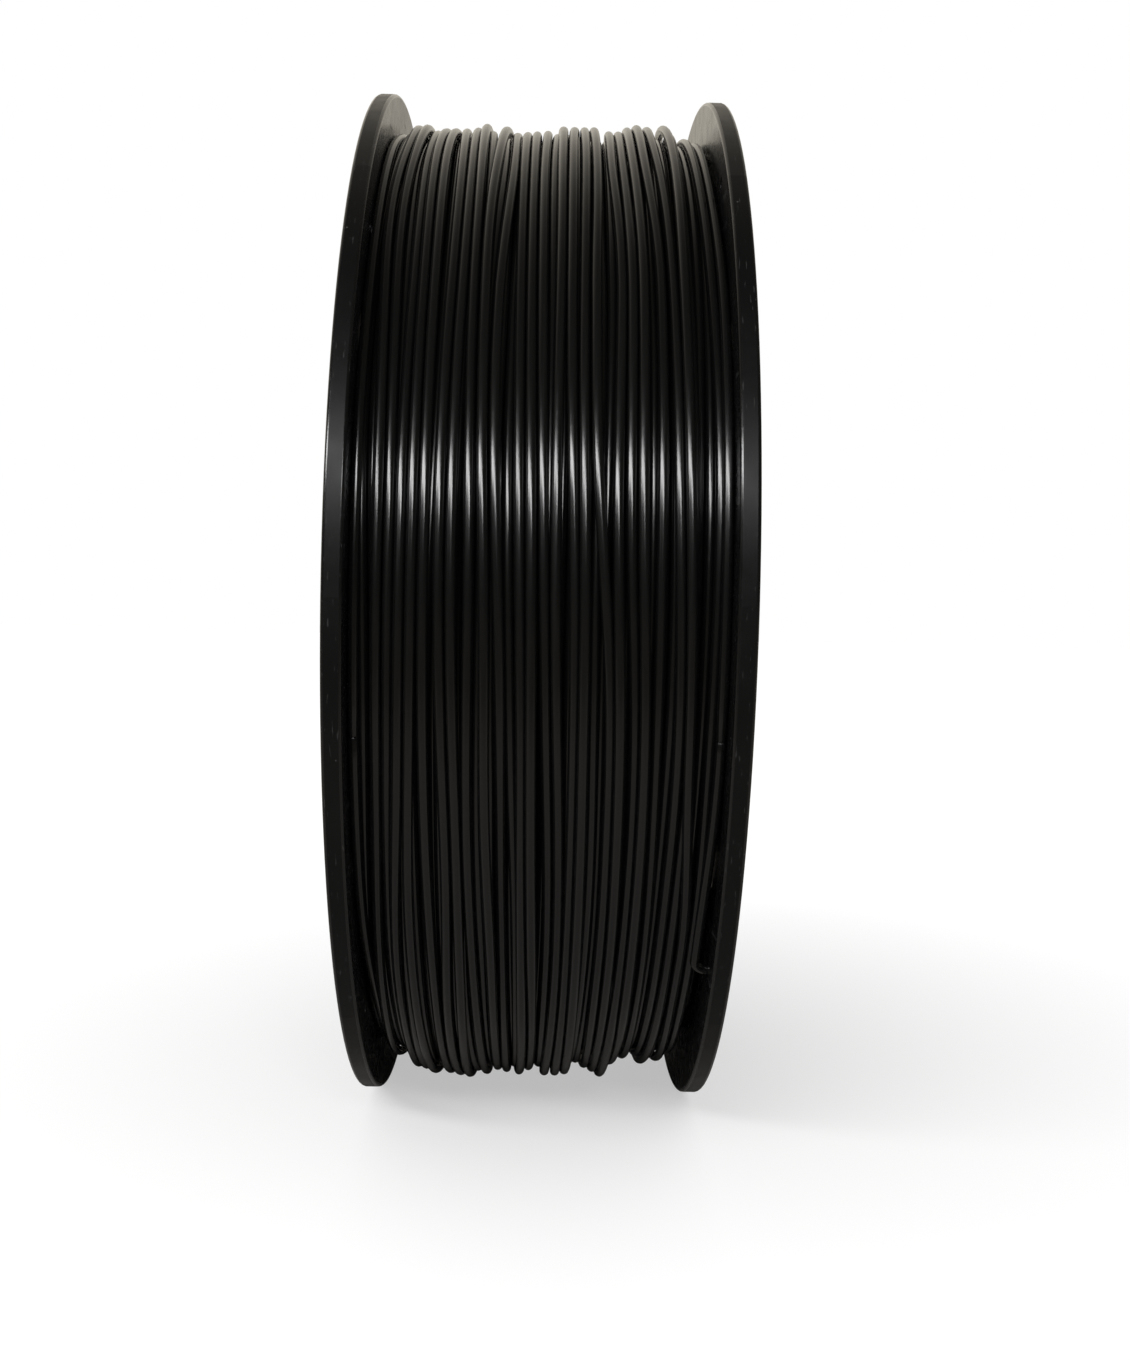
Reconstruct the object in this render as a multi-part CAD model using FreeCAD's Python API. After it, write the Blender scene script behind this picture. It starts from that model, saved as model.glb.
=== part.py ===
"""Filament spool: two flanges clipped to a winding drum, a hub tube between them, and the wound strand.

The spool's axis is Y and Z is up. The origin is the middle of the bore. Millimetres and degrees.
An angle round the spool is measured from +X towards +Z.
"""

import FreeCAD
import Part

import math
import os

from FreeCAD import Vector

# Overall sizes
flange_radius = 100.0
spool_width = 65.0
bore_radius = 27.0

# Flange moulding
rim_thickness = 3.3
rim_band = 3.6
rim_edge_radius = 0.6
rim_sector_count = 8
web_thickness = 2.2
small_radius = 0.4
bore_chamfer = 0.8
hub_collar_wall = 4.6
hub_ring_height = 6.0
hub_ring_wall = 2.05
seat_ring_height = 5.0
seat_ring_wall = 2.05
drum_rib_width = 2.2
drum_rib_overlap = 3.0
rib_width = 1.8
rib_inset = 0.3
outer_rib_count = 12
hub_rib_count = 6
sight_slot_count = 6
sight_slot_width = 9.0
sight_slot_margin = 4.0
hub_hole_count = 6
hub_hole_margin = 3.0
tail_hole_count = 4
tail_hole_clearance = 0.42

# Winding drum, its snap hooks and the hub tube
drum_radius = 57.0
drum_wall = 2.2
hub_tube_wall = 2.4
hook_count = 6
hook_half_angle = 5.0
hook_skin = 0.2
hook_overhang = 0.7
hook_inset = 0.15
hook_root = 2.0
hook_slot_flex = 1.6
hook_slot_gap = 0.4
hook_slot_side_angle = 1.0
locating_clearance = 0.15
end_clearance = 0.05
hook_clearance = 0.05

# Filament
filament_diameter = 1.75
winding_below_rim = 5.57
winding_side_gap = 0.2
layer_clearance = 0.05
turn_seat_gap = 0.15
turn_spacing = 1.45
turn_flange_gap = 0.35
turn_wander = 0.45
turn_wander_rate = 0.93
winding_sag = 0.5
lead_in_angle = 60.0
lead_in_gap = 0.2
winding_corner_radius = 0.8
free_end_angle = -39.0
free_end_sweep = 26.0
free_end_bend = 2.2
free_end_rise = 0.15
free_end_beyond_web = 0.6
start_end_angle = 250.0
start_end_seat_gap = 1.825
start_end_bend = 5.0
start_end_drop = 4.0
start_end_run = 8.0
start_hole_clearance = 0.3

# Worked out from the sizes above
filament_radius = filament_diameter / 2
winding_radius = flange_radius - winding_below_rim
inner_face = spool_width / 2 - rim_thickness
drum_inner_radius = drum_radius - drum_wall
hub_tube_radius = bore_radius + hub_tube_wall
hub_collar_radius = bore_radius + hub_collar_wall
recess_depth = rim_thickness - web_thickness
step_radius = min(small_radius, 0.45 * recess_depth)
hub_recess_end = drum_radius + drum_rib_overlap
rim_inner_radius = flange_radius - rim_band
rim_seam_radius = flange_radius - 2 * rim_edge_radius
seat_outer_radius = drum_inner_radius - locating_clearance
seat_inner_radius = seat_outer_radius - seat_ring_wall
hub_hole_distance = (hub_collar_radius + seat_inner_radius) / 2
hub_hole_radius = (seat_inner_radius - hub_collar_radius) / 2 - hub_hole_margin
slot_near_radius = hub_recess_end + drum_rib_width + sight_slot_margin
inner_layers_radius = winding_radius - filament_diameter - turn_seat_gap
slot_far_radius = inner_layers_radius - sight_slot_margin + winding_corner_radius
hook_root_radius = drum_inner_radius + hook_skin
hook_stem_radius = drum_radius - hook_skin
turn_radius = inner_layers_radius + turn_seat_gap + filament_radius
first_turn_y = -(inner_face - filament_radius - turn_flange_gap)
last_turn_y = inner_face - free_end_bend
turn_pitch = filament_diameter + turn_spacing
outer_loops = (last_turn_y - first_turn_y) / turn_pitch
wound_angle = outer_loops * 2 * math.pi
turns_end_angle = math.radians(free_end_angle + free_end_sweep)
free_end_radius = turn_radius + winding_sag + free_end_rise
start_end_offset = inner_face - seat_ring_height - start_end_seat_gap - filament_radius


def polar(radius, angle, y):
    """The point at a radius and an angle in radians round the spool, at a place along its axis."""
    return Vector(radius * math.cos(angle), y, radius * math.sin(angle))


def outline_wire(corners):
    """A wire through (x, y, corner radius) in the XY plane, where each radius over zero is an arc."""
    places = [Vector(x, y, 0) for x, y, _ in corners]
    radii = [radius for _, _, radius in corners]
    edges = []
    starts = []
    ends = []
    for i, corner in enumerate(places):
        before = (places[i - 1] - corner).normalize()
        after = (places[(i + 1) % len(places)] - corner).normalize()
        if radii[i] == 0:
            starts.append(corner)
            ends.append(corner)
            continue
        half = before.getAngle(after) / 2
        reach = radii[i] / math.tan(half)
        bisector = (before + after).normalize()
        middle = corner + bisector * (radii[i] / math.sin(half) - radii[i])
        starts.append(corner + before * reach)
        ends.append(corner + after * reach)
        edges.append(Part.Arc(starts[i], middle, ends[i]).toShape())
    for i, end in enumerate(ends):
        start = starts[(i + 1) % len(starts)]
        if not end.isEqual(start, 1e-9):
            edges.append(Part.LineSegment(end, start).toShape())
    return Part.Wire(Part.__sortEdges__(edges))


def turned(corners, start=0.0, sweep=360.0):
    """A solid turned about Y from a profile of (radius, y, corner radius), from an angle in degrees."""
    face = Part.Face(outline_wire(corners))
    face.rotate(Vector(0, 0, 0), Vector(0, 1, 0), -start)
    return face.revolve(Vector(0, 0, 0), Vector(0, 1, 0), -sweep)


def ring(inner, outer, low, high, corner=0.0):
    """A plain ring about the Y axis, with rounded or sharp outer corners."""
    return turned([(inner, low, 0), (outer, low, corner), (outer, high, corner), (inner, high, 0)])


def around(shape, count, first=0.0):
    """Copies of a shape at equal steps round the Y axis, the first one turned by an angle in degrees."""
    copies = []
    for i in range(count):
        copy = shape.copy()
        copy.rotate(Vector(0, 0, 0), Vector(0, 1, 0), -(first + 360.0 * i / count))
        copies.append(copy)
    return copies


def radial_rib(near, far):
    """A rib along +X on the web's outer face, from one radius to another, with a rounded top."""
    half = rib_width / 2
    low = web_thickness - small_radius
    high = rim_thickness - rib_inset
    foot = [(-half, low, 0), (half, low, 0)]
    crest = [(half, high, small_radius), (-half, high, small_radius)]
    rib = Part.Face(outline_wire(foot + crest)).extrude(Vector(0, 0, far - near))
    rib.rotate(Vector(0, 0, 0), Vector(0, 1, 0), 90)
    rib.translate(Vector(near, 0, 0))
    return rib


def sight_slot():
    """The cutter of one radial slot with round ends, through which the winding shows."""
    half = sight_slot_width / 2
    deep = rim_thickness * 2
    low = -rim_thickness / 2
    near = slot_near_radius
    far = slot_far_radius
    end_radius = 0.499 * min(sight_slot_width, far - near)
    corners = [(near, -half), (far, -half), (far, half), (near, half)]
    plan = outline_wire([(x, z, end_radius) for x, z in corners])
    slot = Part.Face(plan).extrude(Vector(0, 0, deep))
    slot.rotate(Vector(0, 0, 0), Vector(1, 0, 0), -90)
    slot.translate(Vector(0, low, 0))
    return slot


def round_cutter(radius, distance, angle):
    """The cutter of a round hole along Y at a distance from the axis and an angle in degrees."""
    foot = polar(distance, math.radians(angle), -rim_thickness / 2)
    return Part.makeCylinder(radius, rim_thickness * 2, foot, Vector(0, 1, 0))


def mouth_edges(solid, near, far):
    """The edges of openings in the web's outer face that lie between two radii."""
    found = []
    for edge in solid.Edges:
        points = edge.discretize(5)
        flat = all(abs(p.y - web_thickness) < 1e-6 for p in points)
        if flat and all(near - small_radius < math.hypot(p.x, p.z) < far + small_radius for p in points):
            found.append(edge)
    return found


def flange():
    """One flange moulding with its inner face at y 0 and its outer side towards +Y."""
    hub_ring_inner = hub_tube_radius + locating_clearance
    hub_ring_outer = hub_ring_inner + hub_ring_wall
    body = turned(
        [
            (bore_radius, 0, 0),
            (hub_ring_inner, 0, 0),
            (hub_ring_inner, -hub_ring_height, 0),
            (hub_ring_outer, -hub_ring_height, small_radius),
            (hub_ring_outer, 0, 0),
            (seat_inner_radius, 0, 0),
            (seat_inner_radius, -seat_ring_height, small_radius),
            (seat_outer_radius, -seat_ring_height, small_radius),
            (seat_outer_radius, 0, 0),
            (rim_seam_radius, 0, 0),
            (rim_seam_radius, rim_thickness, 0),
            (rim_inner_radius, rim_thickness, step_radius),
            (rim_inner_radius, web_thickness, step_radius),
            (hub_recess_end + drum_rib_width, web_thickness, step_radius),
            (hub_recess_end + drum_rib_width, rim_thickness, step_radius),
            (hub_recess_end, rim_thickness, step_radius),
            (hub_recess_end, web_thickness, step_radius),
            (hub_collar_radius, web_thickness, step_radius),
            (hub_collar_radius, rim_thickness, step_radius),
            (bore_radius + bore_chamfer, rim_thickness, 0),
            (bore_radius, rim_thickness - bore_chamfer, 0),
        ]
    )
    slots = around(sight_slot(), sight_slot_count, 180.0 / sight_slot_count)
    hub_hole = round_cutter(hub_hole_radius, hub_hole_distance, 0)
    holes = around(hub_hole, hub_hole_count, 180.0 / hub_hole_count)
    body = body.cut(Part.makeCompound(slots + holes))
    slot_mouths = mouth_edges(body, slot_near_radius, slot_far_radius)
    body = body.makeFillet(small_radius, slot_mouths)
    hole_mouths = mouth_edges(body, hub_hole_distance - hub_hole_radius, hub_hole_distance + hub_hole_radius)
    body = body.makeFillet(small_radius, hole_mouths)

    hook_angle = hook_half_angle + hook_slot_side_angle
    slot_inner = hook_root_radius - hook_slot_flex
    slot_outer = hook_stem_radius + hook_slot_gap
    hook_slot = turned(
        [
            (slot_inner, -seat_ring_height - 1, 0),
            (slot_outer, -seat_ring_height - 1, 0),
            (slot_outer, rim_thickness + 1, 0),
            (slot_inner, rim_thickness + 1, 0),
        ],
        -hook_angle,
        2 * hook_angle,
    )
    seat_gap = turned(
        [
            (seat_inner_radius - 1, -seat_ring_height - 1, 0),
            (seat_outer_radius + 1, -seat_ring_height - 1, 0),
            (seat_outer_radius + 1, 0, 0),
            (seat_inner_radius - 1, 0, 0),
        ],
        -hook_angle,
        2 * hook_angle,
    )
    tail_hole = round_cutter(filament_radius + tail_hole_clearance, *tail_hole_place())
    hook_cutters = around(hook_slot, hook_count) + around(seat_gap, hook_count)
    body = body.cut(Part.makeCompound(hook_cutters + around(tail_hole, tail_hole_count)))

    outer_rib = radial_rib(hub_recess_end + drum_rib_width / 2, rim_inner_radius + rim_band / 2)
    outer_ribs = around(outer_rib, outer_rib_count, 180.0 / outer_rib_count)
    hub_rib = radial_rib(hub_collar_radius - hub_collar_wall / 2, slot_inner - rib_width)
    body = body.fuse(outer_ribs + around(hub_rib, hub_rib_count)).removeSplitter()
    return body.fuse(rim_sectors())


def rim_sectors():
    """The rim's rounded outer ring in equal sectors, which keeps its edges in step when they are meshed."""
    sweep = 360.0 / rim_sector_count
    outline = [
        (rim_seam_radius, 0, 0),
        (flange_radius, 0, rim_edge_radius),
        (flange_radius, rim_thickness, rim_edge_radius),
        (rim_seam_radius, rim_thickness, 0),
    ]
    return [turned(outline, i * sweep, sweep) for i in range(rim_sector_count)]


def tail_hole_place():
    """The distance and the angle in degrees of the hole that takes the strand's free end."""
    distance = math.hypot(free_end_radius, free_end_bend)
    angle = free_end_angle - math.degrees(math.atan2(free_end_bend, free_end_radius))
    return distance, angle


def right_flange():
    """The flange on the +Y side."""
    solid = flange()
    solid.translate(Vector(0, inner_face, 0))
    return solid


def left_flange():
    """The same moulding turned round to the -Y side."""
    solid = right_flange()
    solid.rotate(Vector(0, 0, 0), Vector(0, 0, 1), 180)
    return solid


def winding_drum():
    """The tube that the filament is wound on, with snap hooks at both ends and the start hole."""
    half = inner_face - end_clearance
    barb = inner_face + web_thickness + hook_clearance
    head = spool_width / 2 - hook_inset
    hook = turned(
        [
            (hook_root_radius, half - hook_root, 0),
            (hook_stem_radius, half - hook_root, 0),
            (hook_stem_radius, barb, 0),
            (hook_stem_radius + hook_slot_gap + hook_overhang, barb, 0),
            (hook_stem_radius + hook_slot_gap + hook_overhang, (2 * barb + head) / 3, 0),
            (hook_stem_radius, head, 0),
            (hook_root_radius, head, 0),
        ],
        -hook_half_angle,
        2 * hook_half_angle,
    )
    right_hooks = around(hook, hook_count)
    left_hooks = [h.copy() for h in right_hooks]
    for h in left_hooks:
        h.rotate(Vector(0, 0, 0), Vector(0, 0, 1), 180)
    drum = ring(drum_inner_radius, drum_radius, -half, half).fuse(right_hooks + left_hooks)
    outward = polar(1, math.radians(start_end_angle), 0)
    foot = outward * (drum_inner_radius - drum_wall) + Vector(0, -start_end_offset, 0)
    start_hole = Part.makeCylinder(filament_radius + start_hole_clearance, 3 * drum_wall, foot, outward)
    return drum.cut(start_hole).removeSplitter()


def hub_tube():
    """The tube that lines the bore from one flange to the other."""
    half = inner_face - end_clearance
    return ring(bore_radius, hub_tube_radius, -half, half, small_radius)


def turn_point(wound):
    """A point on the outer layer's line, a wound angle in radians after its start."""
    angle = turns_end_angle + wound_angle - wound
    lead = math.radians(lead_in_angle)
    dive = 0.5 + 0.5 * math.cos(math.pi * min(wound / lead, 1.0))
    sag = winding_sag * (1 - math.sin(angle)) / 2 * (1 - dive)
    radius = turn_radius + sag - filament_diameter * dive
    steady = math.sin(math.pi * min(max(wound / wound_angle, 0.0), 1.0))
    wander = turn_wander * steady * math.sin(turn_wander_rate * wound)
    return polar(radius, angle, first_turn_y + turn_pitch * wound / (2 * math.pi) + wander)


def turn_direction(wound):
    """The unit direction of the outer layer's line at a wound angle."""
    step = 1e-4
    return (turn_point(wound + step) - turn_point(wound - step)).normalize()


def arc_between(start, meeting, end):
    """The arc from start to end whose end tangents meet at one point."""
    middle = (start + end) * 0.5
    half_chord = (end - start).Length / 2
    height = meeting - middle
    half_angle = math.atan2(height.Length, half_chord)
    top = middle + height.normalize() * half_chord * math.tan(half_angle / 2)
    return Part.Arc(start, top, end).toShape()


def biarc(start, start_way, end, end_way):
    """Two arcs that meet smoothly, from a point and direction to another point and direction."""
    gap = end - start
    ways = start_way + end_way
    spread = 2 * (1 - start_way.dot(end_way))
    along = gap.dot(ways)
    reach = (math.sqrt(along * along + gap.dot(gap) * spread) - along) / spread
    first = start + start_way * reach
    second = end - end_way * reach
    joint = (first + second) * 0.5
    return [arc_between(start, first, joint), arc_between(joint, second, end)]


def straight(start, way, length):
    """A straight edge from a point."""
    return Part.LineSegment(start, start + way * length).toShape()


def tube(edges, radius, way):
    """A round tube along edges that start in a direction."""
    path = Part.Wire(edges)
    start = edges[0].Vertexes[0].Point
    section = Part.Wire(Part.makeCircle(radius, start, way))
    return path.makePipeShell([section], True, False)


def outer_turn_edges():
    """The outer layer's line: a straight end, the lead-in, half-turn biarcs and a straight end."""
    lead = math.radians(lead_in_angle)
    halves = math.ceil((wound_angle - lead) / math.pi)
    stops = [0.0] + [lead + (wound_angle - lead) * i / halves for i in range(halves + 1)]
    first_way = turn_direction(stops[0])
    last_way = turn_direction(stops[-1])
    edges = [straight(turn_point(0) - first_way * filament_diameter, first_way, filament_diameter)]
    for a, b in zip(stops, stops[1:]):
        edges += biarc(turn_point(a), turn_direction(a), turn_point(b), turn_direction(b))
    edges.append(straight(turn_point(wound_angle), last_way, filament_diameter))
    return edges, first_way


def filament_outer_turns():
    """The outermost layer, one unbroken strand."""
    edges, way = outer_turn_edges()
    return tube(edges, filament_radius, way)


def filament_inner_layers():
    """The packed layers beneath, with the groove in which the strand climbs to the outer layer."""
    half = inner_face - winding_side_gap
    body = ring(drum_radius + layer_clearance, inner_layers_radius, -half, half, winding_corner_radius)
    edges, way = outer_turn_edges()
    lead_in = edges[:3]
    return body.cut(tube(lead_in, filament_radius + lead_in_gap, way))


def filament_free_end():
    """The strand's free end, from the last turn into a hole in the right flange."""
    way = turn_direction(wound_angle)
    start = turn_point(wound_angle) + way * filament_diameter
    bend_angle = math.radians(free_end_angle)
    bend = polar(free_end_radius, bend_angle, inner_face - free_end_bend)
    bend_way = polar(1, bend_angle - math.pi / 2, 0)
    corner = bend + bend_way * free_end_bend
    out = Vector(0, 1, 0)
    through = corner + out * free_end_bend
    edges = biarc(start, way, bend, bend_way)
    edges.append(arc_between(bend, corner, through))
    edges.append(straight(through, out, web_thickness + free_end_beyond_web))
    return tube(edges, filament_radius, way)


def filament_start_end():
    """The strand's start, hooked through the drum's wall into its hollow."""
    angle = math.radians(start_end_angle)
    inward = polar(-1, angle, 0)
    along = polar(1, angle + math.pi / 2, 0)
    start = polar(drum_radius, angle, -start_end_offset)
    turn = start + inward * start_end_drop
    corner = turn + inward * start_end_bend
    bent = corner + along * start_end_bend
    edges = [straight(start, inward, start_end_drop), arc_between(turn, corner, bent)]
    edges.append(straight(bent, along, start_end_run))
    return tube(edges, filament_radius, inward)


def least_turn_gap(edges):
    """The smallest gap between neighbouring turns, measured on points along the path."""
    spacing = 0.5
    reach = 12
    points = []
    for edge in edges:
        points += edge.discretize(max(2, round(edge.Length / spacing)))[:-1]
    turn = round(2 * math.pi * turn_radius / spacing)
    least = turn_pitch
    for i, point in enumerate(points[: -turn - reach]):
        nearby = points[i + turn - reach : i + turn + reach]
        least = min(least, min(point.distanceToPoint(other) for other in nearby))
    return least - filament_diameter


def print_strand_measures():
    """Prints the outer layer's length, what its volume should be, its pitch and its least gap."""
    edges, _ = outer_turn_edges()
    length = sum(edge.Length for edge in edges)
    section = math.pi * filament_radius**2
    print("outer layer: length", round(length, 1), "section times length", round(section * length, 1))
    print("loops", round(outer_loops, 2), "pitch", round(turn_pitch, 2))
    print("least gap between turns", round(least_turn_gap(edges), 3))


def main():
    """Builds each node and writes its STEP file."""
    os.makedirs("parts", exist_ok=True)
    makers = [
        left_flange,
        right_flange,
        winding_drum,
        hub_tube,
        filament_inner_layers,
        filament_outer_turns,
        filament_free_end,
        filament_start_end,
    ]
    for make in makers:
        shape = make()
        shape = shape if shape.ShapeType == "Solid" else shape.Solids[0]
        shape.exportStep(os.path.join("parts", make.__name__ + ".step"))
        print(make.__name__, "valid", shape.isValid(), "volume", round(shape.Volume, 1))
    print_strand_measures()


main()
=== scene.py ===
"""Looks of the filament spool: black moulded flanges and hub, and the strand laid turn by turn.

Metres, with the spool's axis along Y and Z up. An angle round the spool is measured from +X towards +Z.
"""

import math

import bpy
import numpy as np
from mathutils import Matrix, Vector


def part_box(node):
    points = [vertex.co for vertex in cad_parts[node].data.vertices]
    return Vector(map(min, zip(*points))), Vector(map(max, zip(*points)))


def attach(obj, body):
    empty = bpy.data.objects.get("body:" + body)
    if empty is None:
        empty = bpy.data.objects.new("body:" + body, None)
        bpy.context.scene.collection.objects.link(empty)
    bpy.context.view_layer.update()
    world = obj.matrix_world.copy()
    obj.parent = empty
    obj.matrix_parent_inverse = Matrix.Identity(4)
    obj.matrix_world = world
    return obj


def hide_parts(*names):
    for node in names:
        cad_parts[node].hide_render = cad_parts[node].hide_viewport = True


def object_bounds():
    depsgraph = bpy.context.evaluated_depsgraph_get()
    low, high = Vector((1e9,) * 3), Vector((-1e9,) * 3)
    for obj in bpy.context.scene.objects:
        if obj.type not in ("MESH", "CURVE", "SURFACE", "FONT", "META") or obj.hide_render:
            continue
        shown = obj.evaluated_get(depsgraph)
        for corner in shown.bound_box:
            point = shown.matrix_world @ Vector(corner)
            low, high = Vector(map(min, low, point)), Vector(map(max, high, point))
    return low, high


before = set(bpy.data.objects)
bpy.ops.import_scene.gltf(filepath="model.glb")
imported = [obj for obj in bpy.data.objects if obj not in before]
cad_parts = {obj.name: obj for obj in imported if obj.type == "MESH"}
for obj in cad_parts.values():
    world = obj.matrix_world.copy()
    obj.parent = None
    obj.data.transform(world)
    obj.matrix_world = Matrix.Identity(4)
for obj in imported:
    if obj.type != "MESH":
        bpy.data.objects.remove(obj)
cad_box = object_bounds()

MM = 0.001
BODY = "root"

# Sizes that the looks share with the construction
END_GAP = 0.05 * MM
INNER_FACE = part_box("hub_tube")[1][1] + END_GAP
DRUM_RADIUS = 57.0 * MM
STRAND = 1.75 * MM
STRAND_RADIUS = STRAND / 2
FREE_END_ANGLE = math.radians(-39.0)
FREE_END_SWEEP = math.radians(26.0)
END_ANGLE = FREE_END_ANGLE + FREE_END_SWEEP
FREE_END_RADIUS = 94.205 * MM
FREE_END_BEND = 2.2 * MM
FREE_END_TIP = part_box("filament_free_end")[1][1]
START_ANGLE = math.radians(250.0)
START_OFFSET = 21.5 * MM
START_DROP = 4.0 * MM
START_BEND = 5.0 * MM
START_RUN = 8.0 * MM

# How the strand is laid
SEED = 12
SAMPLES = 120
LAYER_TURNS = (31, 30, 29, 26)
FLOOR_RADIUS = 88.2 * MM
SAG_PLACES = (-29.0, -24.0, -16.5, -7.0, 3.0, 13.0, 21.0, 29.0)
SAG_SIZES = (-1.2, 0.6, 3.8, 2.1, 1.2, 0.5, -0.9, -0.8)
SIDE_DIP = 2.2 * MM
SIDE_DIP_REACH = 2.6 * MM
SIDE_GAP = 0.05 * MM
SIDE_LIMIT = INNER_FACE - STRAND_RADIUS - SIDE_GAP
OWN_WANDERS = ((0.9, 0.5 * MM), (0.3, 0.36 * MM))
SHARED_WAVES = ((2, 14.0 * MM, 0.5 * MM), (3, 9.0 * MM, 0.4 * MM), (5, 6.0 * MM, 0.22 * MM))
TRIAL_REACH = 1.5 * MM
TRIALS = 31
PLAN_TIE = 450.0
STEADY_TIE = 2200.0
FULL_DEPTH = 5.9 * MM
CROWD_TIE = 4.0
SLOPE_KEPT = 0.7
SLOPE_ADDED = 0.3
TURNS_BENEATH = 75
TAIL = 16
SMOOTH_SHARE = 0.25
SMOOTH_STEPS = 8
SPAN_ROUNDS = 2
SPAN_STEPS = 24

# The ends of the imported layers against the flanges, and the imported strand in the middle
SIDE_COIL_TURNS = 18
SIDE_COIL_LOW = DRUM_RADIUS + STRAND_RADIUS + 0.1 * MM
SIDE_COIL_HIGH = FLOOR_RADIUS + 0.4 * MM
SIDE_COIL_WOBBLE = 0.06 * MM
SIDE_COIL_WOBBLE_TURNS = 0.2
SIDE_COIL_SHIFT = 0.45 * MM
SIDE_COIL_SHIFT_TURNS = 0.45
CORE_RINGS = 30
CORE_RING_STEPS = 6
CORE_SIDES = 96
CORE_HALF = SIDE_LIMIT - STRAND
CORE_RADIUS = FLOOR_RADIUS - 0.6 * STRAND
CORE_RIDGE = 0.35 * MM
CORE_BOTTOM = DRUM_RADIUS + 0.05 * MM

# How finely the strand is meshed
OUTER_SIDES = 14
UNDER_SIDES = 10
DEEP_SIDES = 8
FREE_END_STEPS = 24
FREE_BEND_STEPS = 9
TIP_STEPS = 4
DROP_STEPS = 5
START_BEND_STEPS = 10
RUN_STEPS = 6
END_BEVEL = 0.12
BAKE_MARGIN = 0.04

# The detail of the moulded plastics: scales for each metre, bump heights and changes of roughness
BROAD_DETAIL = 3.0
FINE_DETAIL = 2.0
NOISE_ROUGHNESS = 0.55
GRAIN_SCALE = 2600.0
GRAIN_HEIGHT = 0.006 * MM
FLOW_SCALE = 55.0
FLOW_HEIGHT = 0.02 * MM
FLOW_TONES = (0.85, 1.2)
FLOW_ROUGHNESS = 0.025
BLOTCH_SCALE = 240.0
BLOTCH_ROUGHNESS = 0.035
HAIR_STRETCH = (60.0, 2600.0, 420.0)
HAIR_RANGE = (0.66, 0.72)
HAIR_HEIGHT = 0.004 * MM
HAIR_TONE = 0.06
HAIR_SHARE = 0.25
HAIR_ROUGHNESS = 0.12
DUST_SCALE = 260.0
DUST_RANGE = (0.018, 0.05)
DUST_TONE = 0.12
DUST_SHARE = 0.5
DUST_ROUGHNESS = 0.25

# The rims, whose flat bands and rounded edges have finishes of their own
RIM_RADIUS = cad_box[1][2]
RIM_EDGE = 0.6 * MM
RIM_MIDDLE = (INNER_FACE + cad_box[1][1]) / 2
RIM_FLAT = 2.26 * MM
PLAIN_SHINE = 0.5
RIM_SHINE = 0.155
RIM_ROUGHNESS = 0.34
EDGE_ROUGHNESS = 0.17

# The strand's detail, on a map in metres along and around it, and that of its packed middle
LINE_STRETCH = (35.0, 4200.0, 1.0)
LINE_ROUGHNESS = (-0.02, 0.03)
LINE_HEIGHT = 0.006 * MM
SLOW_STRETCH = (16.0, 260.0, 1.0)
SLOW_ROUGHNESS = (0.14, 0.2)
FLECK_STRETCH = (900.0, 1500.0, 1.0)
FLECK_RANGE = (0.6, 0.75)
FLECK_ROUGHNESS = 0.05
FLECK_HEIGHT = 0.0015 * MM
STRAND_TONES = (0.0022, 0.0032)
PACKED_STRETCH = (40.0, 900.0, 40.0)
PACKED_TONES = (0.004, 0.007)
PACKED_ROUGHNESS = (0.3, 0.45)
PACKED_HEIGHT = 0.05 * MM
WARMTH = 0.02
DUST_WARMTH = 0.03

# The studio: the camera, what reflections see of the world and the floor, and the softbox
CAMERA_PLACE = (0.3275, 0.0003, 0.0)
CAMERA_ANGLES = (87.114, -1.267, 89.167)
FOCAL_PIXELS = 1541.1
PICTURE_HEIGHT = 1360
SENSOR = 36.0
CLIP_START = 0.01
WHITE = (1.0, 1.0, 1.0, 1.0)
GLOSS_TINT = (1.0, 0.93, 0.8, 1.0)
FILL_LEVEL = 0.6
BRIGHT_WAY = (-0.92, -0.35, 0.176)
BRIGHT_START = -0.1
BACK_GLOSS = 0.93
FRONT_GLOSS = 0.05
FLOOR_SIZE = 8.0
FLOOR_COLOUR = (0.9, 0.9, 0.9, 1.0)
# Painted shade: the floor's colour as reflections see it, darker than the colour the camera sees
FLOOR_REFLECTED_SHADE_COLOUR = (0.25, 0.24, 0.225, 1.0)
FLOOR_ROUGHNESS = 0.9
FLOOR_GLOW = 1.2
# Painted light: the floor's glow in reflections, brighter behind the spool and dimmer in front, with the
# places along X between them
FLOOR_REFLECTED_GLOW = (0.58, 0.1, -0.15, 0.36)
FLOOR_SHARE = (0.4, 0.85, 0.11, 0.3)
# How much of the painted glow reflections see, from none near the spool to all of it further away
FLOOR_REFLECTED_GLOW_SHARE = (0.0, 1.0, 0.13, 0.28)
LAMP_ELEVATION = math.radians(27.5)
LAMP_AZIMUTH = math.radians(-24.0)
LAMP_DISTANCE = 1.0
LAMP_SIZE = (1.4, 0.13)
LAMP_WATTS = 10.2


def wander(rng, count, scale):
    """Smooth noise along the strand that changes over a number of samples, with a spread near 1."""
    knots = rng.normal(size=int(count / scale) + 4)
    place = np.arange(count) / scale
    i = place.astype(int)
    t = place - i
    a, b, c, d = (knots[i + k] for k in range(4))
    bend = (2 * a - 5 * b + 4 * c - d) * t**2
    twist = (3 * b - a - 3 * c + d) * t**3
    return 0.5 * (2 * b + (c - a) * t + bend + twist)


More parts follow.
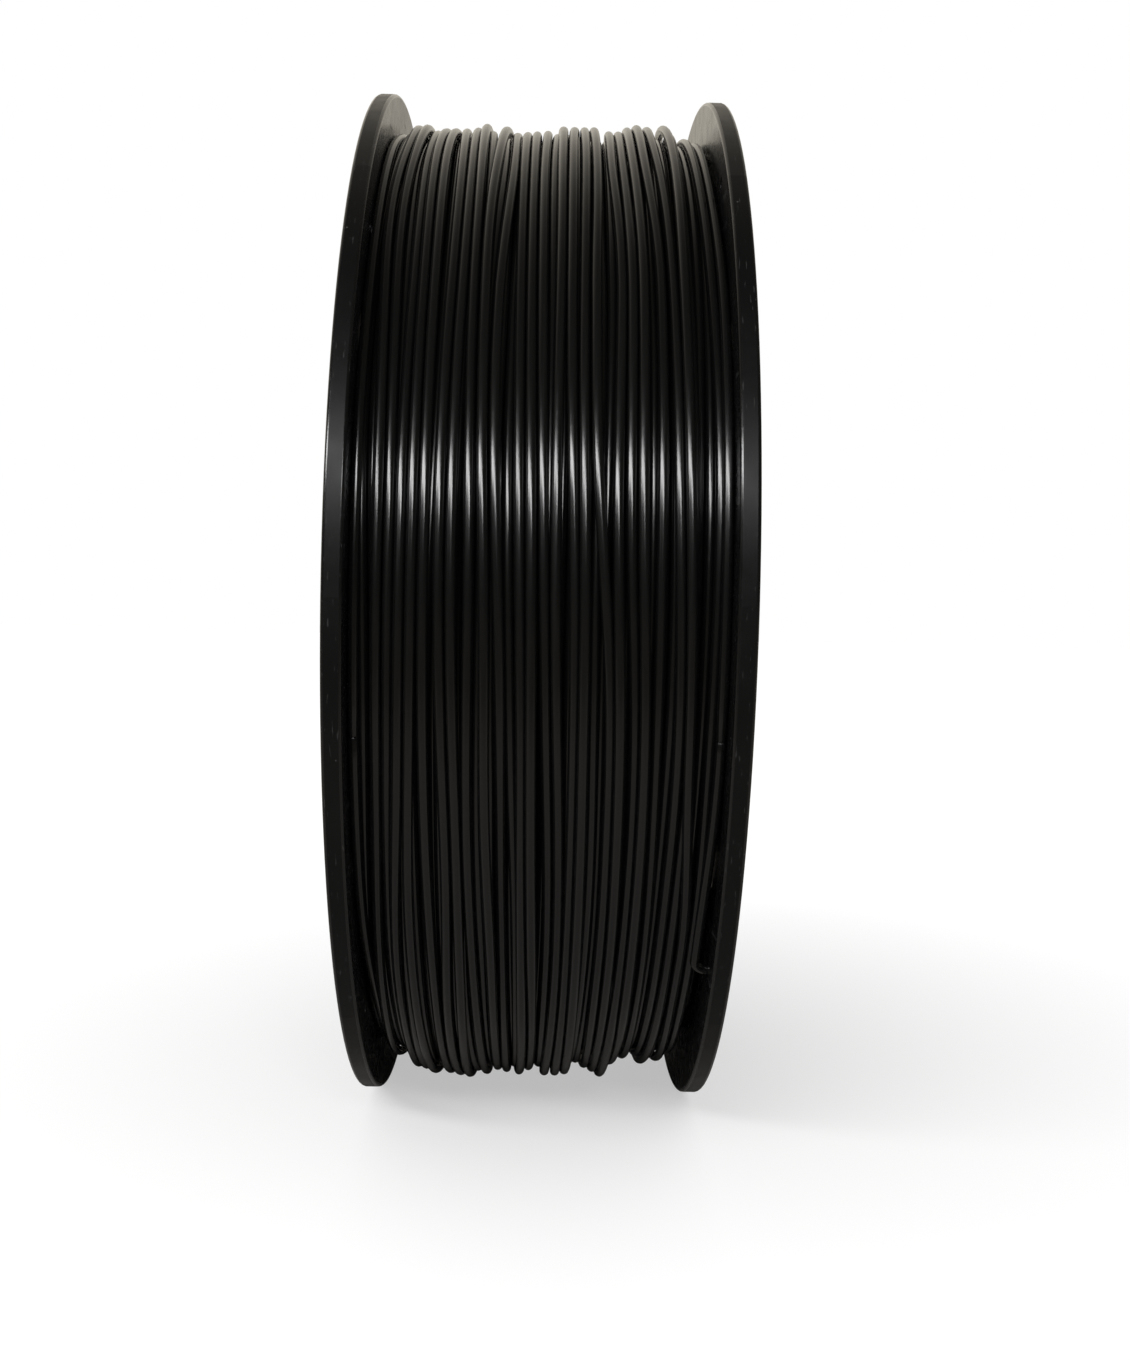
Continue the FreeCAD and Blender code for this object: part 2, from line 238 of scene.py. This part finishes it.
def planned_places(rng):
    """Where along the axis the winding machine leads the strand, layer by layer."""
    places = []
    for layer, turns in enumerate(LAYER_TURNS):
        way = 1 if (len(LAYER_TURNS) - 1 - layer) % 2 == 0 else -1
        along = (np.arange(turns * SAMPLES) + 0.5) / (turns * SAMPLES)
        places.append(way * SIDE_LIMIT * (2 * along - 1))
    plan = np.concatenate(places)
    for turns, size in OWN_WANDERS:
        plan = plan + size * wander(rng, len(plan), turns * SAMPLES)
    angle = 2 * math.pi * np.arange(len(plan)) / SAMPLES
    for waves, length, size in SHARED_WAVES:
        fade = np.sqrt(np.clip(np.cos(0.5 * math.pi * plan / SIDE_LIMIT), 0, 1))
        plan = plan + fade * size * np.sin(waves * angle + plan / length + rng.uniform(0, 2 * math.pi))
    return np.clip(plan, -SIDE_LIMIT, SIDE_LIMIT)


def floor_radius(places, angles):
    """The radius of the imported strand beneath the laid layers, which hangs low and dips at the flanges."""
    below = (0.5 - 0.5 * np.sin(angles)) ** 2
    sag = MM * np.interp(places / MM, SAG_PLACES, SAG_SIZES)
    dip = SIDE_DIP * np.exp(-(((SIDE_LIMIT - np.abs(places)) / SIDE_DIP_REACH) ** 2))
    return FLOOR_RADIUS + below * sag - dip


def rest_radius(trial, places, radii, angles):
    """The radius at which a strand comes to rest at trial places, on strands and the floor beneath."""
    floor = floor_radius(trial, angles)
    if not len(places):
        return floor
    room = STRAND**2 - (trial - places) ** 2
    height = np.where(room > 0, radii + np.sqrt(np.clip(room, 0, None)), 0)
    return np.maximum(height.max(axis=0), floor)


def turn_rest(places, radii, turn, angles):
    """The radii at which one whole turn comes to rest."""
    first = max(0, turn - TURNS_BENEATH)
    return rest_radius(places[turn], places[first:turn], radii[first:turn], angles)


def settle_turn(places, radii, turn, angles):
    """Smooths one turn and the tail before it, and lets them span what they can't follow."""
    tail = TAIL if turn else 0
    y = places.reshape(-1)[turn * SAMPLES - tail : (turn + 1) * SAMPLES]
    for _ in range(SMOOTH_STEPS):
        y[1:-1] += SMOOTH_SHARE * (y[:-2] + y[2:] - 2 * y[1:-1])
    radii[turn] = turn_rest(places, radii, turn, angles)
    if not turn:
        return
    tail_rest = turn_rest(places, radii, turn - 1, angles)[-TAIL:]
    radii[turn - 1, -TAIL:] = np.maximum(radii[turn - 1, -TAIL:], tail_rest)
    for _ in range(SPAN_ROUNDS):
        rest = np.concatenate([radii[turn - 1, -TAIL:], turn_rest(places, radii, turn, angles)])
        r = rest.copy()
        for _ in range(SPAN_STEPS):
            r[1:-1] = np.maximum(rest[1:-1], 0.5 * (r[:-2] + r[2:]))
        radii[turn - 1, -TAIL:] = r[:TAIL]
        radii[turn] = r[TAIL:]


def lay_strand():
    """The strand's places along the axis and its radii, one row for each turn.

    Each sample tries places near the plan and takes the one where it rests lowest, with a cost for
    leaving the plan, for leaving its own line and for climbing higher than the laid layers are deep.
    """
    rng = np.random.default_rng(SEED)
    plan = planned_places(rng)
    turns = sum(LAYER_TURNS)
    places = np.zeros((turns, SAMPLES))
    radii = np.zeros((turns, SAMPLES))
    steps = np.linspace(-TRIAL_REACH, TRIAL_REACH, TRIALS)
    angles = END_ANGLE + 2 * math.pi * (SAMPLES - 1 - np.arange(SAMPLES)) / SAMPLES
    before = plan[0]
    slope = 0.0
    for i, wanted in enumerate(plan):
        turn, at = divmod(i, SAMPLES)
        beneath = (slice(max(0, turn - TURNS_BENEATH), turn), at, None)
        trial = np.clip(wanted + steps, -SIDE_LIMIT, SIDE_LIMIT)
        rest = rest_radius(trial, places[beneath], radii[beneath], angles[at])
        off_plan = PLAN_TIE * (trial - wanted) ** 2
        off_line = STEADY_TIE * (trial - before - slope) ** 2
        too_high = np.maximum(0, rest - floor_radius(trial, angles[at]) - FULL_DEPTH)
        best = int(np.argmin(rest + off_plan + off_line + CROWD_TIE * too_high))
        slope = SLOPE_KEPT * slope + SLOPE_ADDED * (trial[best] - before)
        before = trial[best]
        places[turn, at] = trial[best]
        radii[turn, at] = rest[best]
        if at == SAMPLES - 1:
            settle_turn(places, radii, turn, angles)
    return places, radii


def strand_points(places, radii, angles):
    """Points in space from places along the axis, radii and angles."""
    return np.stack([radii * np.cos(angles), places, radii * np.sin(angles)], axis=-1)


def radial(angles):
    """Unit vectors away from the axis."""
    return np.stack([np.cos(angles), np.zeros_like(angles), np.sin(angles)], axis=-1)


def quarter_bend(start, radius, steps, onward, across):
    """Points of a quarter arc that leaves its start onward and ends up across."""
    turn = np.linspace(0, math.pi / 2, steps)[:, None]
    return start + radius * (np.sin(turn) * onward + (1 - np.cos(turn)) * across)


def new_object(name, data):
    """A new object in the scene, with a mesh, a lamp or a camera as its data."""
    thing = bpy.data.objects.new(name, data)
    bpy.context.collection.objects.link(thing)
    return thing


def tube_rings(points, outward, sides):
    """The centres of a tube's rings and the rings' corners. The two ends are bevelled."""
    along = np.gradient(points, axis=0)
    along /= np.linalg.norm(along, axis=1)[:, None]
    normal = outward - (outward * along).sum(axis=1)[:, None] * along
    normal /= np.linalg.norm(normal, axis=1)[:, None]
    side = np.cross(along, normal)
    bevel = END_BEVEL * STRAND_RADIUS
    centres = np.concatenate([points[:1], points, points[-1:]])
    centres[1] = points[0] + along[0] * bevel
    centres[-2] = points[-1] - along[-1] * bevel
    widths = np.full(len(centres), STRAND_RADIUS)
    widths[[0, -1]] = STRAND_RADIUS - bevel
    pick = np.concatenate([[0], np.arange(len(points)), [len(points) - 1]])
    turn = 2 * math.pi * np.arange(sides) / sides
    outer = np.cos(turn)[None, :, None] * normal[pick][:, None]
    sideways = np.sin(turn)[None, :, None] * side[pick][:, None]
    return centres, centres[:, None] + widths[:, None, None] * (outer + sideways)


def tube_faces(rings, sides):
    """The quads between a tube's rings, and the two faces that close it."""
    i = np.arange(rings - 1)[:, None] * sides
    j = np.arange(sides)[None]
    k = (j + 1) % sides
    quads = np.stack([i + j, i + k, i + sides + k, i + sides + j], axis=-1).reshape(-1, 4)
    caps = [list(range(sides))[::-1], list(range((rings - 1) * sides, rings * sides))]
    return quads.tolist(), caps


def add_tube_maps(mesh, centres, sides, row):
    """Adds a UV map in metres along and around a tube, and one for baking with row rings in each strip."""
    rings = len(centres)
    rows = math.ceil((rings - 1) / row)
    length = np.concatenate([[0], np.cumsum(np.linalg.norm(np.diff(centres, axis=0), axis=1))])
    ring = np.repeat(np.arange(rings - 1), sides)
    place = ring[:, None] + np.array([0, 0, 1, 1])[None]
    around = np.tile(np.arange(sides), rings - 1)[:, None] + np.array([0, 1, 1, 0])[None]
    strip = (ring // row)[:, None]
    u = (place - strip * row + 0.5) / (row + 1)
    v = (strip + BAKE_MARGIN + (1 - 2 * BAKE_MARGIN) * around / sides) / rows
    maps = {"strand": (length[place], around * 2 * math.pi * STRAND_RADIUS / sides), "OFBake": (u, v)}
    for name, values in maps.items():
        corners = np.stack(values, axis=-1).reshape(-1, 2)
        caps = np.zeros((2 * sides, 2))
        layer = mesh.uv_layers.new(name=name)
        layer.uv.foreach_set("vector", np.concatenate([corners, caps]).ravel())


def tube_piece(name, points, outward, sides, row=None):
    """A round tube of strand along points, with outward vectors that keep its rings from twisting."""
    centres, corners = tube_rings(points, outward, sides)
    quads, caps = tube_faces(len(centres), sides)
    mesh = bpy.data.meshes.new(name)
    mesh.from_pydata(corners.reshape(-1, 3).tolist(), [], quads + caps)
    add_tube_maps(mesh, centres, sides, row or len(centres))
    mesh.polygons.foreach_set("use_smooth", [True] * len(quads) + [False] * len(caps))
    return new_object(name, mesh)


def finish_strand(piece, node, material):
    """Gives a piece of strand its material and its place in the frame."""
    piece.data.materials.append(material)
    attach(piece, BODY)
    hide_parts(node)


def wound_piece(name, places, radii, angles, sides, node):
    """A wound piece of the strand that stands for a node."""
    points = strand_points(places, radii, angles)
    piece = tube_piece(name, points, radial(angles), sides, row=SAMPLES)
    finish_strand(piece, node, STRAND_PLASTIC)


def make_winding():
    """The laid layers: the outermost one, two beneath it and a deep one that closes the gaps."""
    places, radii = lay_strand()
    count = places.size
    angles = END_ANGLE + 2 * math.pi * (count - 1 - np.arange(count)) / SAMPLES
    line = [places.ravel(), radii.ravel(), angles]
    outer = count - LAYER_TURNS[-1] * SAMPLES
    deep = LAYER_TURNS[0] * SAMPLES
    parts = [
        ("strand_outer_layer", outer - 1, count, OUTER_SIDES, "filament_outer_turns"),
        ("strand_under_layers", deep - 1, outer, UNDER_SIDES, "filament_inner_layers"),
        ("strand_deep_layer", 0, deep, DEEP_SIDES, "filament_inner_layers"),
    ]
    for name, first, last, sides, node in parts:
        wound_piece(name, *[values[first:last] for values in line], sides, node)
    return places[-1, -1], radii[-1, -1]


def make_free_end(place, radius):
    """The end of the strand, from the outer layer into its hole in the right flange."""
    t = np.linspace(0, 1, FREE_END_STEPS)
    smooth = t * t * (3 - 2 * t)
    angles = FREE_END_ANGLE + FREE_END_SWEEP * (1 - t)
    y = place + (INNER_FACE - FREE_END_BEND - place) * smooth
    r = radius + (FREE_END_RADIUS - radius) * smooth
    points = strand_points(y, r, angles)
    outward = radial(angles)
    onward = np.array([math.sin(FREE_END_ANGLE), 0, -math.cos(FREE_END_ANGLE)])
    across = np.array([0.0, 1.0, 0.0])
    bend = quarter_bend(points[-1], FREE_END_BEND, FREE_BEND_STEPS, onward, across)[1:]
    tip = bend[-1] + np.linspace(0, FREE_END_TIP - bend[-1, 1], TIP_STEPS)[1:, None] * across
    points = np.concatenate([points, bend, tip])
    outward = np.concatenate([outward, np.repeat(outward[-1:], len(bend) + len(tip), axis=0)])
    piece = tube_piece("strand_free_end", points, outward, OUTER_SIDES)
    finish_strand(piece, "filament_free_end", STRAND_PLASTIC)


def make_start_end():
    """The start of the strand, hooked through the drum's wall."""
    inward = -radial(np.array([START_ANGLE]))[0]
    along = radial(np.array([START_ANGLE + math.pi / 2]))[0]
    start = -inward * DRUM_RADIUS + np.array([0, -START_OFFSET, 0])
    drop = start + np.linspace(0, START_DROP, DROP_STEPS)[:-1, None] * inward
    bend = quarter_bend(start + START_DROP * inward, START_BEND, START_BEND_STEPS, inward, along)
    run = bend[-1] + np.linspace(0, START_RUN, RUN_STEPS)[1:, None] * along
    points = np.concatenate([drop, bend, run])
    outward = np.repeat(np.array([[0.0, 1.0, 0.0]]), len(points), axis=0)
    piece = tube_piece("strand_start_end", points, outward, OUTER_SIDES)
    finish_strand(piece, "filament_start_end", STRAND_PLASTIC)


def make_side_coils():
    """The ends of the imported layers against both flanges, which show through the slots."""
    rng = np.random.default_rng(SEED + 1)
    count = SIDE_COIL_TURNS * SAMPLES
    for name, way in (("left", -1), ("right", 1)):
        t = np.arange(count) / (count - 1)
        wobble = SIDE_COIL_WOBBLE * wander(rng, count, SIDE_COIL_WOBBLE_TURNS * SAMPLES)
        radii = SIDE_COIL_LOW + (SIDE_COIL_HIGH - SIDE_COIL_LOW) * t + wobble
        shift = SIDE_COIL_SHIFT * np.abs(wander(rng, count, SIDE_COIL_SHIFT_TURNS * SAMPLES))
        places = way * (SIDE_LIMIT - shift)
        angles = -2 * math.pi * np.arange(count) / SAMPLES
        wound_piece(f"strand_{name}_side", places, radii, angles, UNDER_SIDES, "filament_inner_layers")


def make_packed_core():
    """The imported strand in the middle, which only closes the view between the turns."""
    places = np.linspace(-CORE_HALF, CORE_HALF, CORE_RINGS * CORE_RING_STEPS + 1)
    ripple = np.abs(np.sin(math.pi * CORE_RINGS * (places + CORE_HALF) / (2 * CORE_HALF)))
    top = CORE_RADIUS - CORE_RIDGE * (1 - ripple)
    outline = [(CORE_BOTTOM, -CORE_HALF), *zip(top, places), (CORE_BOTTOM, CORE_HALF)]
    angles = 2 * math.pi * np.arange(CORE_SIDES) / CORE_SIDES
    vertices = [(r * math.cos(a), y, r * math.sin(a)) for r, y in outline for a in angles]
    faces = []
    for i in range(len(outline)):
        here = i * CORE_SIDES
        onward = (i + 1) % len(outline) * CORE_SIDES
        for j in range(CORE_SIDES):
            k = (j + 1) % CORE_SIDES
            faces.append((here + j, onward + j, onward + k, here + k))
    mesh = bpy.data.meshes.new("strand_packed_core")
    mesh.from_pydata(vertices, [], faces)
    mesh.polygons.foreach_set("use_smooth", [True] * len(faces))
    finish_strand(new_object("strand_packed_core", mesh), "filament_inner_layers", PACKED_PLASTIC)


class Material:
    """A node material with one plastic shader, and short calls that add and join its nodes."""

    def __init__(self, name):
        self.material = bpy.data.materials.new(name)
        self.material.use_nodes = True
        self.tree = self.material.node_tree
        self.shader = self.tree.nodes["Principled BSDF"]
        self.coordinates = self.tree.nodes.new("ShaderNodeTexCoord")

    def add(self, kind, values=None, **settings):
        """Adds a node with settings, and links or sets its inputs."""
        node = self.tree.nodes.new("ShaderNode" + kind)
        for key, value in settings.items():
            setattr(node, key, value)
        self.fill(node, values or {})
        return node

    def fill(self, node, values):
        """Links or sets a node's inputs."""
        for key, value in values.items():
            self.put(node.inputs[key], value)

    def put(self, socket, value):
        """Links an output to a socket, or sets the socket's own value."""
        if isinstance(value, bpy.types.NodeSocket):
            self.tree.links.new(value, socket)
        else:
            socket.default_value = value

    def uv(self, name):
        """A UV map's coordinates."""
        return self.add("UVMap", uv_map=name).outputs["UV"]

    def stretched(self, vector, scale):
        """Coordinates scaled along each axis."""
        return self.add("Mapping", {"Vector": vector, "Scale": scale}).outputs["Vector"]

    def noise(self, vector, scale=1.0, detail=FINE_DETAIL):
        """Noise from 0 to 1 with features of about 1 / scale."""
        values = {"Vector": vector, "Scale": scale, "Detail": detail, "Roughness": NOISE_ROUGHNESS}
        return self.add("TexNoise", values).outputs["Fac"]

    def spread(self, value, low, high, start=0.25, end=0.75):
        """A value from one range, by default the one that noise fills, spread over another."""
        values = {"Value": value, "From Min": start, "From Max": end, "To Min": low, "To Max": high}
        return self.add("MapRange", values).outputs["Result"]

    def share(self, value, high, low=0.0):
        """A value from 0 to 1 spread from low to high."""
        return self.spread(value, low, high, 0.0, 1.0)

    def math(self, operation, first, second=0.0):
        """The result of a calculation with one or two values."""
        return self.add("Math", {0: first, 1: second}, operation=operation).outputs[0]

    def vector(self, operation, first, second=(0.0, 0.0, 0.0)):
        """The number that a calculation with one or two vectors gives."""
        return self.add("VectorMath", {0: first, 1: second}, operation=operation).outputs["Value"]

    def sum(self, *values):
        """The sum of some outputs."""
        total = values[0]
        for value in values[1:]:
            total = self.math("ADD", total, value)
        return total

    def level(self, share, first, second):
        """A mix of two numbers."""
        values = {"Factor": share, "A": first, "B": second}
        return self.add("Mix", values, data_type="FLOAT").outputs["Result"]

    def mix(self, share, first, second):
        """A mix of two colours."""
        node = self.add("Mix", {"Factor": share}, data_type="RGBA")
        self.put(node.inputs[6], first)
        self.put(node.inputs[7], second)
        return node.outputs[2]

    def bump(self, height, distance, before=None):
        """A bump of a height from 0 to 1 over a distance."""
        values = {"Height": height, "Distance": distance}
        if before:
            values["Normal"] = before
        return self.add("Bump", values).outputs["Normal"]

    def shine(self, rays):
        """1 for a ray that a reflection or a clear surface sends out, and 0 for others."""
        return self.math("MAXIMUM", rays["Is Glossy Ray"], rays["Is Transmission Ray"])


class World(Material):
    """The world's nodes, with the same short calls."""

    def __init__(self):
        world = bpy.data.worlds.new("studio")
        bpy.context.scene.world = world
        world.use_nodes = True
        self.tree = world.node_tree
        self.shader = self.tree.nodes["Background"]
        self.coordinates = self.tree.nodes.new("ShaderNodeTexCoord")


def dark(level, warm=0.0):
    """A near-black colour."""
    return (level * (1 + warm), level, level * (1 - warm), 1.0)


def rim_masks(m, place):
    """Where the rim's flat band is, and where its rounded edges are."""
    parts = m.add("SeparateXYZ", {"Vector": place}).outputs
    across = m.add("CombineXYZ", {"X": parts["X"], "Z": parts["Z"]}).outputs["Vector"]
    outermost = m.math("GREATER_THAN", m.vector("LENGTH", across), RIM_RADIUS - RIM_EDGE)
    off_middle = m.math("ABSOLUTE", m.math("SUBTRACT", m.math("ABSOLUTE", parts["Y"]), RIM_MIDDLE))
    band = m.math("MULTIPLY", outermost, m.math("LESS_THAN", off_middle, RIM_FLAT / 2))
    return band, m.math("SUBTRACT", outermost, band)


def make_moulded_plastic(name, level, roughness):
    """Black moulded plastic: fine grain, faint flow, hair scratches and a little dust, and textured rims."""
    m = Material(name)
    place = m.coordinates.outputs["Object"]
    grain = m.noise(place, GRAIN_SCALE)
    flow = m.noise(place, FLOW_SCALE, BROAD_DETAIL)
    blotch = m.noise(place, BLOTCH_SCALE, BROAD_DETAIL)
    hairs = m.spread(m.noise(m.stretched(place, HAIR_STRETCH)), 0.0, 1.0, *HAIR_RANGE)
    specks = m.add("TexVoronoi", {"Vector": place, "Scale": DUST_SCALE, "Randomness": 1.0})
    dust = m.spread(specks.outputs["Distance"], 1.0, 0.0, *DUST_RANGE)
    rim, edge = rim_masks(m, place)
    low, high = (level * tone for tone in FLOW_TONES)
    tone = m.mix(m.spread(flow, 0.0, 1.0), dark(low), dark(high, WARMTH))
    worn = m.mix(m.share(hairs, HAIR_SHARE), tone, dark(HAIR_TONE))
    rough = m.sum(
        m.spread(blotch, roughness - BLOTCH_ROUGHNESS, roughness + BLOTCH_ROUGHNESS),
        m.share(rim, RIM_ROUGHNESS - roughness),
        m.share(edge, EDGE_ROUGHNESS - roughness),
        m.spread(flow, -FLOW_ROUGHNESS, FLOW_ROUGHNESS),
        m.share(hairs, HAIR_ROUGHNESS),
        m.share(dust, DUST_ROUGHNESS),
    )
    fine = m.bump(grain, GRAIN_HEIGHT, m.bump(flow, FLOW_HEIGHT))
    m.fill(m.shader, {
        "Base Color": m.mix(m.share(dust, DUST_SHARE), worn, dark(DUST_TONE, DUST_WARMTH)),
        "Specular IOR Level": m.share(rim, RIM_SHINE, PLAIN_SHINE),
        "Roughness": rough,
        "Normal": m.bump(hairs, HAIR_HEIGHT, fine),
    })
    return m.material


def make_strand_plastic(name):
    """Black extruded filament: glossy, with faint lines along it and small changes of finish."""
    m = Material(name)
    place = m.uv("strand")
    lines = m.noise(m.stretched(place, LINE_STRETCH))
    slow = m.noise(m.stretched(place, SLOW_STRETCH))
    flecks = m.noise(m.stretched(place, FLECK_STRETCH))
    low, high = STRAND_TONES
    rough = m.sum(
        m.spread(slow, *SLOW_ROUGHNESS),
        m.spread(lines, *LINE_ROUGHNESS),
        m.spread(flecks, 0.0, FLECK_ROUGHNESS, *FLECK_RANGE),
    )
    m.fill(m.shader, {
        "Base Color": m.mix(m.spread(slow, 0.0, 1.0), dark(low), dark(high, WARMTH)),
        "Roughness": rough,
        "Normal": m.bump(flecks, FLECK_HEIGHT, m.bump(lines, LINE_HEIGHT)),
    })
    return m.material


def make_packed_plastic(name):
    """The strand's plastic where it is packed out of sight, with its turns as fine rings."""
    m = Material(name)
    rings = m.noise(m.stretched(m.coordinates.outputs["Object"], PACKED_STRETCH))
    low, high = PACKED_TONES
    m.fill(m.shader, {
        "Base Color": m.mix(rings, dark(low), dark(high)),
        "Roughness": m.spread(rings, *PACKED_ROUGHNESS),
        "Normal": m.bump(rings, PACKED_HEIGHT),
    })
    return m.material


FLANGE_PLASTIC = make_moulded_plastic("flange_plastic", level=0.003, roughness=0.27)
CORE_PLASTIC = make_moulded_plastic("core_plastic", level=0.0035, roughness=0.34)
STRAND_PLASTIC = make_strand_plastic("filament")
PACKED_PLASTIC = make_packed_plastic("packed_filament")

NODE_MATERIALS = {
    "left_flange": FLANGE_PLASTIC,
    "right_flange": FLANGE_PLASTIC,
    "winding_drum": CORE_PLASTIC,
    "hub_tube": CORE_PLASTIC,
}


def finish_nodes():
    """Gives the moulded pieces their plastics."""
    for name, material in NODE_MATERIALS.items():
        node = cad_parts[name]
        node.data.materials.clear()
        node.data.materials.append(material)


def make_world():
    """White for the camera, light behind and dim in front in reflections, and a soft fill."""
    m = World()
    rays = m.add("LightPath").outputs
    toward = m.vector("DOT_PRODUCT", m.coordinates.outputs["Generated"], BRIGHT_WAY)
    near = m.spread(toward, 0.0, 1.0, BRIGHT_START, 1.0)
    seen = m.share(m.math("MULTIPLY", near, near), BACK_GLOSS, FRONT_GLOSS)
    shine = m.shine(rays)
    strength = m.level(rays["Is Camera Ray"], m.level(shine, FILL_LEVEL, seen), 1.0)
    m.fill(m.shader, {"Color": m.mix(shine, WHITE, GLOSS_TINT), "Strength": strength})


def make_floor():
    """A pale floor that looks white where no shadow lies, and keeps the spool's shadow.

    In reflections it shows a painted glow, dim in front of the spool and brighter behind it, and a darker
    colour as painted shade.
    """
    z = cad_box[0][2]
    half = FLOOR_SIZE / 2
    corners = [(-half, -half, z), (half, -half, z), (half, half, z), (-half, half, z)]
    mesh = bpy.data.meshes.new("floor")
    mesh.from_pydata(corners, [], [(0, 1, 2, 3)])
    floor = new_object("floor", mesh)
    m = Material("floor")
    rays = m.add("LightPath").outputs
    shine = m.shine(rays)
    place = m.coordinates.outputs["Object"]
    ahead = m.add("SeparateXYZ", {"Vector": place}).outputs["X"]
    away = m.vector("LENGTH", place)
    # Painted shade: reflections see the floor in a darker colour
    colour = m.mix(shine, FLOOR_COLOUR, FLOOR_REFLECTED_SHADE_COLOUR)
    m.fill(m.shader, {"Base Color": colour, "Roughness": FLOOR_ROUGHNESS})
    # Painted light: the glow that reflections see, brighter behind the spool than in front
    strength = m.level(shine, FLOOR_GLOW, m.spread(ahead, *FLOOR_REFLECTED_GLOW))
    glow = m.add("Emission", {"Color": m.mix(shine, WHITE, GLOSS_TINT), "Strength": strength})
    seen_share = m.math("MULTIPLY", m.spread(away, *FLOOR_SHARE), rays["Is Camera Ray"])
    # Reflections near the spool see the floor's own shading, and further away the painted glow
    reflected_glow_share = m.math("MULTIPLY", m.spread(away, *FLOOR_REFLECTED_GLOW_SHARE), shine)
    mixed = m.add("MixShader", {
        0: m.sum(seen_share, reflected_glow_share),
        1: m.shader.outputs["BSDF"],
        2: glow.outputs["Emission"],
    })
    m.put(m.tree.nodes["Material Output"].inputs["Surface"], mixed.outputs["Shader"])
    floor.data.materials.append(m.material)


def make_softbox():
    """One long, thin softbox in front of the spool, above it and to its left, which faces it."""
    light = bpy.data.lights.new("front_softbox", "AREA")
    light.shape = "RECTANGLE"
    light.size, light.size_y = LAMP_SIZE
    light.energy = LAMP_WATTS
    level = LAMP_DISTANCE * math.cos(LAMP_ELEVATION)
    height = LAMP_DISTANCE * math.sin(LAMP_ELEVATION)
    lamp = new_object("front_softbox", light)
    lamp.location = (level * math.cos(LAMP_AZIMUTH), level * math.sin(LAMP_AZIMUTH), height)
    lamp.rotation_euler = lamp.location.to_track_quat("Z", "Y").to_euler()


def make_camera():
    """The camera at the photograph's viewing angle."""
    data = bpy.data.cameras.new("camera")
    data.sensor_width = SENSOR
    data.lens = FOCAL_PIXELS / PICTURE_HEIGHT * SENSOR
    data.clip_start = CLIP_START
    camera = new_object("camera", data)
    camera.location = CAMERA_PLACE
    camera.rotation_euler = [math.radians(a) for a in CAMERA_ANGLES]
    bpy.context.scene.camera = camera


make_camera()
finish_nodes()
last_place, last_radius = make_winding()
make_free_end(last_place, last_radius)
make_start_end()
make_side_coils()
make_packed_core()
make_world()
make_floor()
make_softbox()
bpy.context.scene.view_settings.view_transform = "Standard"
